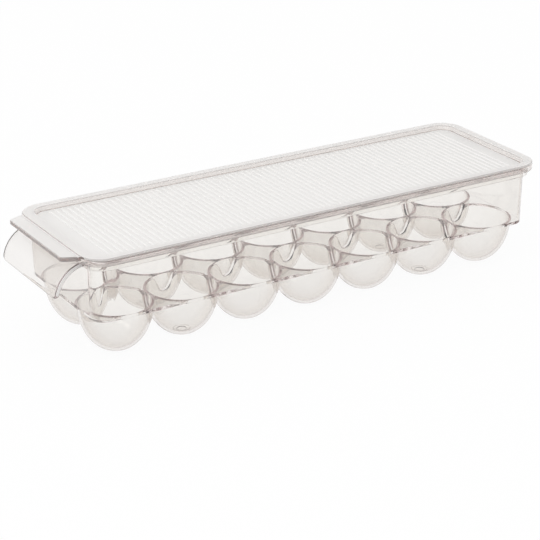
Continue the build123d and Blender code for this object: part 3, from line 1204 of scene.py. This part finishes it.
@dataclass
class Lid:
    """The lid: a ribbed panel inside a raised border with a short skirt, a lift tab and two clips.

    The shares say how satin its faces are. The bands say how near an outline a face counts as
    part of the panel's foot line or of the skirt.
    """

    finish: ClearPlastic
    nodes: tuple[str, ...]
    pivot: Point2
    rib_share: float = 1.0
    panel_share: float = 0.85
    border_share: float = 0.8
    bend_share: float = 0.52
    tab_share: float = 0.22
    skirt_share: float = 0.16
    clear_share: float = 0.0
    level_band: float = 0.05
    panel_band: float = 0.45
    foot_band: float = 0.5
    skirt_band: float = 0.25
    tab_band: float = 1.0
    wall: float = 1.8
    corner: float = 16.5
    bead_height: float = 3.0
    bead_slope: float = 28.0
    side_bead: float = 6.3
    edge_radius: float = 1.2
    inner_edge_radius: float = 0.7
    foot_reach: float = 0.4
    foot_middle: Point2 = (-0.08, 0.1)
    under_margin: float = 2.0
    under_round: tuple[Point2, ...] = ((0.2, 0.0), (-0.05, 0.25))
    hollow_edge: float = 0.5
    hollow_bend: float = 0.2
    hollow_round: tuple[Point2, ...] = ((0.5, 0.0), (0.15, -0.15), (0.0, -0.5))
    outline_steps: tuple[int, int, int] = (60, 20, 12)
    rib_count: int = 72
    rib_pitch: float = 4.45
    rib_width: float = 1.5
    rib_height: float = 0.5
    rib_root: float = 0.4
    rib_levels: int = 5
    rib_margin: float = 3.5
    tab_taper: float = 4.75
    tab_corner: float = 3.0
    tab_edge: float = 0.7
    tab_bite: float = 1.0
    tab_groove: tuple[Point2, ...] = ((2.0, 0.0), (1.7, 0.3), (0.8, 0.3), (0.5, 0.0))
    clip_width: float = 10.0
    clip_radius: float = 2.88
    clip_edge: float = 0.2
    clip_mouth: float = 2.0
    clip_mouth_angle: float = 215.0
    bore_radius: float = 1.38
    heel_reach: float = 3.6
    heel_wall: float = 1.2
    heel_angle: float = 314.4
    hanger_angle: float = 60.0
    hanger_rise: float = 0.8
    hanger_bite: float = 0.3
    outline: RoundedRectangle = field(init=False)
    panel: RoundedRectangle = field(init=False)
    panel_z: float = field(init=False)
    panel_top: float = field(init=False)
    skirt_z: float = field(init=False)
    bead_z: float = field(init=False)

    def __post_init__(self) -> None:
        """Read the lid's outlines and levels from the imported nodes."""
        low, _ = node_box("lid_border_front")
        _, high = node_box("lid_border_rear")
        panel_low, panel_high = node_box("lid_panel")
        self.outline = RoundedRectangle(low[:2], high[:2], self.corner)
        panel_corner = self.corner - self.side_bead - self.lean(self.bead_height)
        self.panel = RoundedRectangle(panel_low[:2], panel_high[:2], panel_corner)
        self.panel_z, self.skirt_z, self.bead_z = panel_low[2], low[2], high[2]
        self.panel_top = self.panel_z + self.wall

    def lean(self, rise: float) -> float:
        """How far out the border's inner slope goes on its way up."""
        return rise * math.tan(math.radians(self.bead_slope))

    def inside(self) -> list[tuple[RoundedRectangle, float]]:
        """Outlines and heights of the lid's inside, from under the panel out to the skirt's foot.

        Returns:
            The levels.
        """
        wall = self.wall
        hollow_z = self.bead_z - wall
        rise = hollow_z - self.panel_z
        panel = [(self.under_margin, self.panel_z)]
        panel += [(reach - wall, self.panel_z + step) for reach, step in self.under_round]
        panel.append((-wall - self.lean(rise - self.hollow_edge), hollow_z - self.hollow_edge))
        panel.append((-wall - self.lean(rise) - self.hollow_bend, hollow_z))
        skirt = [(wall + reach, hollow_z + step) for reach, step in self.hollow_round]
        skirt.append((wall, self.skirt_z + EDGE_ROUND))
        skirt.append((wall - ROUND_MIDDLE, self.skirt_z + ROUND_MIDDLE))
        skirt.append((wall - EDGE_ROUND, self.skirt_z))
        levels = [(self.panel.inset(reach), z) for reach, z in panel]
        return levels + [(self.outline.inset(reach), z) for reach, z in skirt]

    def outside(self) -> list[tuple[RoundedRectangle, float]]:
        """Outlines and heights of the lid's outside, from the skirt's foot over to the panel.

        Returns:
            The levels.
        """
        soft = self.inner_edge_radius
        slope = math.radians(self.bead_slope)
        foot = (EDGE_ROUND, self.skirt_z + EDGE_ROUND)
        edge = (self.edge_radius, self.bead_z - self.edge_radius)
        skirt = arc_points(foot, EDGE_ROUND, 270, -90, steps=3)
        skirt += arc_points(edge, self.edge_radius, 180, -90, steps=6)
        back = soft * math.tan((math.pi / 2 - slope) / 2)
        bend = (-(self.lean(self.bead_height) + back), self.bead_z - soft)
        panel = arc_points(bend, soft, 90, self.bead_slope - 90, steps=4)
        panel.append((-self.foot_reach * math.sin(slope), self.panel_top + self.foot_reach * math.cos(slope)))
        panel.append((self.foot_middle[0], self.panel_top + self.foot_middle[1]))
        panel.append((self.foot_reach, self.panel_top))
        levels = [(self.outline.inset(reach), z) for reach, z in skirt]
        return levels + [(self.panel.inset(reach), z) for reach, z in panel]

    def shell(self) -> bpy.types.Object:
        """Build the panel, the border and the skirt as one closed skin.

        Returns:
            The lid without its ribs, its tab and its clips.
        """
        skin = Skin()
        rings = []
        for shape, z in self.inside() + self.outside():
            rings.append([skin.point(x, y, z) for x, y in shape.walk(*self.outline_steps)])
        skin.solid(rings)
        return skin.to_object("flip_lid")

    def ribs(self) -> bpy.types.Object:
        """Build the fine ribs, half-round with round ends, seated a little into the panel.

        Returns:
            The ribs as one piece.
        """
        skin = Skin()
        half = self.rib_width / 2
        reach = self.panel.high[0] - self.rib_margin - half
        middle = (self.panel.low[1] + self.panel.high[1]) / 2
        section = [(half, self.panel_top - self.rib_root)]
        for k in range(self.rib_levels):
            turn = math.pi / 2 * k / self.rib_levels
            section.append((half * math.cos(turn), self.panel_top + self.rib_height * math.sin(turn)))
        for n in range(self.rib_count):
            y = middle + (n - (self.rib_count - 1) / 2) * self.rib_pitch
            rings = []
            for radius, z in section:
                ring = arc_points((reach, 0), radius, -90, 180, steps=8)
                ring += arc_points((-reach, 0), radius, 90, 180, steps=8)
                rings.append([skin.point(x, y + along, z) for x, along in ring])
            skin.solid(rings)
        return skin.to_object("ribs")

    def tab(self) -> bpy.types.Object:
        """Build the lift tab, a plate that narrows towards the front, with a groove along its root.

        Returns:
            The tab.
        """
        low, high = node_box("lid_tab")
        root = high[0]
        root_y = self.outline.low[1]
        lean = math.atan2(self.tab_taper, root_y - low[1])
        across = root - self.tab_taper - self.tab_corner * (1 - math.sin(lean)) / math.cos(lean)
        turn = 90 - math.degrees(lean)
        front = low[1] + self.tab_corner
        outline = [(root, root_y + self.tab_bite), (-root, root_y + self.tab_bite), (-root, root_y)]
        outline += arc_points((-across, front), self.tab_corner, 270 - turn, turn, steps=8)
        outline += arc_points((across, front), self.tab_corner, 270, turn, steps=8)
        outline.append((root, root_y))
        skin = Skin()
        skin.solid([[skin.point(x, y, z) for x, y in outline] for z in (low[2], high[2])])
        made = skin.to_object("tab")
        draft = bmesh.new()
        draft.from_mesh(made.data)
        inner_y = (root_y + self.tab_bite / 2) * MM
        level = [edge for edge in draft.edges if is_flat(edge, 2)]
        free = [edge for edge in level if max(end.co.y for end in edge.verts) < inner_y]
        round_edges(draft, free, self.tab_edge, steps=4)
        for reach, drop in self.tab_groove:
            whole = [*draft.verts, *draft.edges, *draft.faces]
            place = (0, (root_y - reach) * MM, 0)
            cut = bmesh.ops.bisect_plane(draft, geom=whole, plane_co=place, plane_no=(0, 1, 0))
            for corner in cut["geom_cut"]:
                if isinstance(corner, bmesh.types.BMVert) and corner.co.z > (low[2] + high[2]) / 2 * MM:
                    corner.co.z -= drop * MM
        draft.to_mesh(made.data)
        draft.free()
        return made

    def clip(self, station: float) -> bpy.types.Object:
        """Build one snap clip, its bore open at the mouth, with the stop heel and the hanger.

        Args:
            station: The middle of the clip, across the lid.

        Returns:
            The clip.
        """
        half_mouth = half_angle(self.clip_mouth, self.clip_radius)
        half_bore = half_angle(self.clip_mouth, self.bore_radius)
        heel = half_angle(self.heel_wall, self.clip_radius)
        pivot = self.pivot
        radius = self.clip_radius
        mouth = self.clip_mouth_angle
        start = mouth + half_mouth
        hanger = self.hanger_angle
        hanger_z = self.skirt_z + self.hanger_rise
        outline = arc_points(pivot, radius, start, self.heel_angle - heel - start, steps=8)
        heel_end = on_circle(pivot, self.heel_reach, self.heel_angle)
        outline += [on_circle(heel_end, self.heel_wall / 2, self.heel_angle + turn) for turn in (-90, 90)]
        outline += arc_points(pivot, radius, self.heel_angle + heel, 360 - self.heel_angle - heel, steps=4)
        outline.append((pivot[0] + radius, hanger_z))
        outline.append((self.outline.high[1] - self.wall + self.hanger_bite, hanger_z))
        outline += arc_points(pivot, radius, hanger, mouth - half_mouth - hanger, steps=14)
        outline += arc_points(pivot, self.bore_radius, mouth - half_bore, 2 * half_bore - 360, steps=28)
        left = station - self.clip_width / 2
        return plate_across(outline, left, self.clip_width, self.clip_edge, "clip")

    def build(self) -> bpy.types.Object:
        """Build the moulding in the frame's place.

        Returns:
            The lid.
        """
        lid = self.shell()
        clips = [self.clip(side * HINGE_SPACING / 2) for side in (-1, 1)]
        fuse(lid, [self.ribs(), self.tab(), *clips])
        smooth(lid)
        log.info("flip_lid: %d faces", len(lid.data.polygons))
        return lid

    def satin_share(self, place: Vector, normal: Vector) -> float:
        """How satin a face is: full on the ribs, none at the panel's foot line and the front bends.

        Args:
            place: The face's centre.
            normal: Its outward direction.

        Returns:
            The share, from nothing to one.
        """
        front = self.outline.low[1]
        if place.z > self.panel_top - self.level_band and normal.z > RISING:
            within = self.panel.depth(place[:2])
            if within > self.panel_band:
                return self.rib_share if place.z > self.panel_top + self.level_band else self.panel_share
            if within > -self.foot_band:
                return self.clear_share
            if normal.z > LEVEL:
                return self.border_share
            return self.clear_share if place.y < front + self.edge_radius else self.bend_share
        if self.outline.depth(place[:2]) < self.skirt_band and abs(normal.z) < STEEP:
            return self.tab_share if place.y < front - self.tab_band else self.skirt_share
        return self.clear_share

    def dress(self, lid: bpy.types.Object) -> None:
        """Give the lid its finish and its place among the bodies.

        Args:
            lid: The lid.
        """
        lid.data.materials.clear()
        lid.data.materials.append(self.finish.material())
        mark_faces(lid, SATIN, self.satin_share)
        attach(lid, Body.LID.value)
        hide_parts(*self.nodes)


@dataclass
class Studio:
    """Plain pale floor, pale surround, one soft lamp and the camera.

    Lengths are in metres here, but for the camera's place, its lens and its sensor.
    """

    azimuth: float = 58.44
    elevation: float = 22.80
    lens_mm: float = 124.5
    sensor_mm: float = 36.0
    view_range: float = 50.0
    camera_place: Point3 = (1016.1, -629.0, 518.4)
    floor_size: float = 12.0
    floor_drop: float = 0.0002
    floor_tint: str = "F2F2F2"
    floor_roughness: float = 0.9
    floor_glow: float = 0.96
    light_bounces: int = 48
    light_strength: float = 0.85
    ceiling_tint: str = "D0CDCE"
    ceiling_from: float = 0.15
    ceiling_full: float = 0.6
    lamp_size: Point2 = (1.6, 1.2)
    lamp_watts: float = 8.0
    lamp_place: Point3 = (0.3, -0.9, 1.5)

    def build(self) -> None:
        """Build the surround."""
        self.floor()
        self.world()
        self.lamp()
        self.camera()
        scene = bpy.context.scene
        scene.view_settings.view_transform = "Standard"
        scene.cycles.max_bounces = self.light_bounces
        scene.cycles.transmission_bounces = self.light_bounces
        scene.cycles.glossy_bounces = self.light_bounces

    def floor(self) -> None:
        """Build the floor, near white where it is seen, with the keeper's soft shadow."""
        bpy.ops.mesh.primitive_plane_add(size=self.floor_size, location=(0, 0, -self.floor_drop))
        plane = bpy.context.object
        plane.name = "floor"
        # Matt white paper: it has no gloss, so the eye finds only the soft shadow on it.
        paper = {
            "Base Color": linear(self.floor_tint),
            "Roughness": self.floor_roughness,
            "Specular IOR Level": 0.0,
        }
        made = start_material("matt_white_sweep", paper)
        tree = made.node_tree
        matt = tree.nodes["Principled BSDF"].outputs[0]
        white = add_node(tree, "ShaderNodeEmission", {"Color": linear(WHITE), "Strength": 1.0}).outputs[0]
        share = add_node(tree, "ShaderNodeMath", {**TIMES, 1: self.floor_glow}, {0: seen_by_eye(tree)})
        mix = add_node(tree, "ShaderNodeMixShader", {}, {0: share.outputs[0], 1: matt, 2: white})
        tree.links.new(mix.outputs[0], tree.nodes["Material Output"].inputs["Surface"])
        plane.data.materials.append(made)

    def world(self) -> None:
        """Build a pale surround, white behind the keeper and greyer overhead in what the plastic shows."""
        world = bpy.data.worlds.new("pale_surround")
        bpy.context.scene.world = world
        world.use_nodes = True
        tree = world.node_tree
        tree.nodes.clear()
        place = add_node(tree, "ShaderNodeTexCoord").outputs["Generated"]
        height = add_node(tree, "ShaderNodeSeparateXYZ", {}, {"Vector": place}).outputs["Z"]
        rise = {"From Min": self.ceiling_from, "From Max": self.ceiling_full}
        soft = {"interpolation_type": "SMOOTHSTEP", **rise}
        overhead = add_node(tree, "ShaderNodeMapRange", soft, {"Value": height}).outputs[0]
        straight = add_node(tree, "ShaderNodeLightPath").outputs["Is Camera Ray"]
        hidden = add_node(tree, "ShaderNodeMath", {"operation": "SUBTRACT", 0: 1.0}, {1: straight}).outputs[0]
        share = add_node(tree, "ShaderNodeMath", TIMES, {0: overhead, 1: hidden}).outputs[0]
        tints = {"data_type": "RGBA", MIX_FROM: linear(WHITE), MIX_TO: linear(self.ceiling_tint)}
        shown = add_node(tree, "ShaderNodeMix", tints, {0: share}).outputs[MIX_RESULT]
        plain = {"Color": linear(WHITE), "Strength": self.light_strength}
        light = add_node(tree, "ShaderNodeBackground", plain).outputs[0]
        white = add_node(tree, "ShaderNodeBackground", {"Strength": 1.0}, {"Color": shown}).outputs[0]
        mix = add_node(tree, "ShaderNodeMixShader", {}, {0: seen_by_eye(tree), 1: light, 2: white})
        add_node(tree, "ShaderNodeOutputWorld", {}, {"Surface": mix.outputs[0]})

    def lamp(self) -> None:
        """Hang one large soft lamp high in front of the keeper."""
        lamp = bpy.data.lights.new("softbox", "AREA")
        lamp.shape = "RECTANGLE"
        lamp.size, lamp.size_y = self.lamp_size
        lamp.energy = self.lamp_watts
        box = bpy.data.objects.new("softbox", lamp)
        box.location = self.lamp_place
        box.rotation_euler = (Vector((0, 0, 0)) - box.location).to_track_quat("-Z", "Y").to_euler()
        bpy.context.scene.collection.objects.link(box)

    def camera(self) -> None:
        """Place the camera at the viewing angle."""
        data = bpy.data.cameras.new("view")
        data.lens = self.lens_mm
        data.sensor_width = self.sensor_mm
        data.clip_end = self.view_range
        made = bpy.data.objects.new("view", data)
        azimuth, elevation = math.radians(self.azimuth), math.radians(self.elevation)
        right = Vector((math.cos(azimuth), math.sin(azimuth), 0))
        level = math.cos(elevation)
        ahead = Vector((-math.sin(azimuth) * level, math.cos(azimuth) * level, -math.sin(elevation)))
        turn = Matrix((right, right.cross(ahead), -ahead)).transposed().to_4x4()
        made.matrix_world = Matrix.Translation(Vector(self.camera_place) * MM) @ turn
        bpy.context.scene.collection.objects.link(made)
        bpy.context.scene.camera = made


def main() -> None:
    """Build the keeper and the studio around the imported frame."""
    logging.basicConfig(level=logging.INFO, format="%(name)s %(message)s")
    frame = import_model()
    bodies = frame["record"]["behaviour"]["bodies"]
    hinge = frame["joints"][0]["pos_m"]
    pivot = (hinge[1] / MM, hinge[2] / MM)
    # The tray's plastic is painted a mauve-grey shade where its faces turn from the eye.
    clear = ClearPlastic("clear_polystyrene_tray", edge_shade_tint="DED6CF")
    tray = Tray(clear, nodes=tuple(bodies[Body.TRAY.value]), pivot=pivot)
    tray.dress(tray.build())
    # The lid's plastic takes a little more colour with depth, which shows in its satin panel.
    satin = ClearPlastic("clear_polystyrene_lid", depth_tint="F3E4E1")
    lid = Lid(satin, nodes=tuple(bodies[Body.LID.value]), pivot=pivot)
    lid.dress(lid.build())
    Studio().build()


if __name__ == "__main__":
    main()
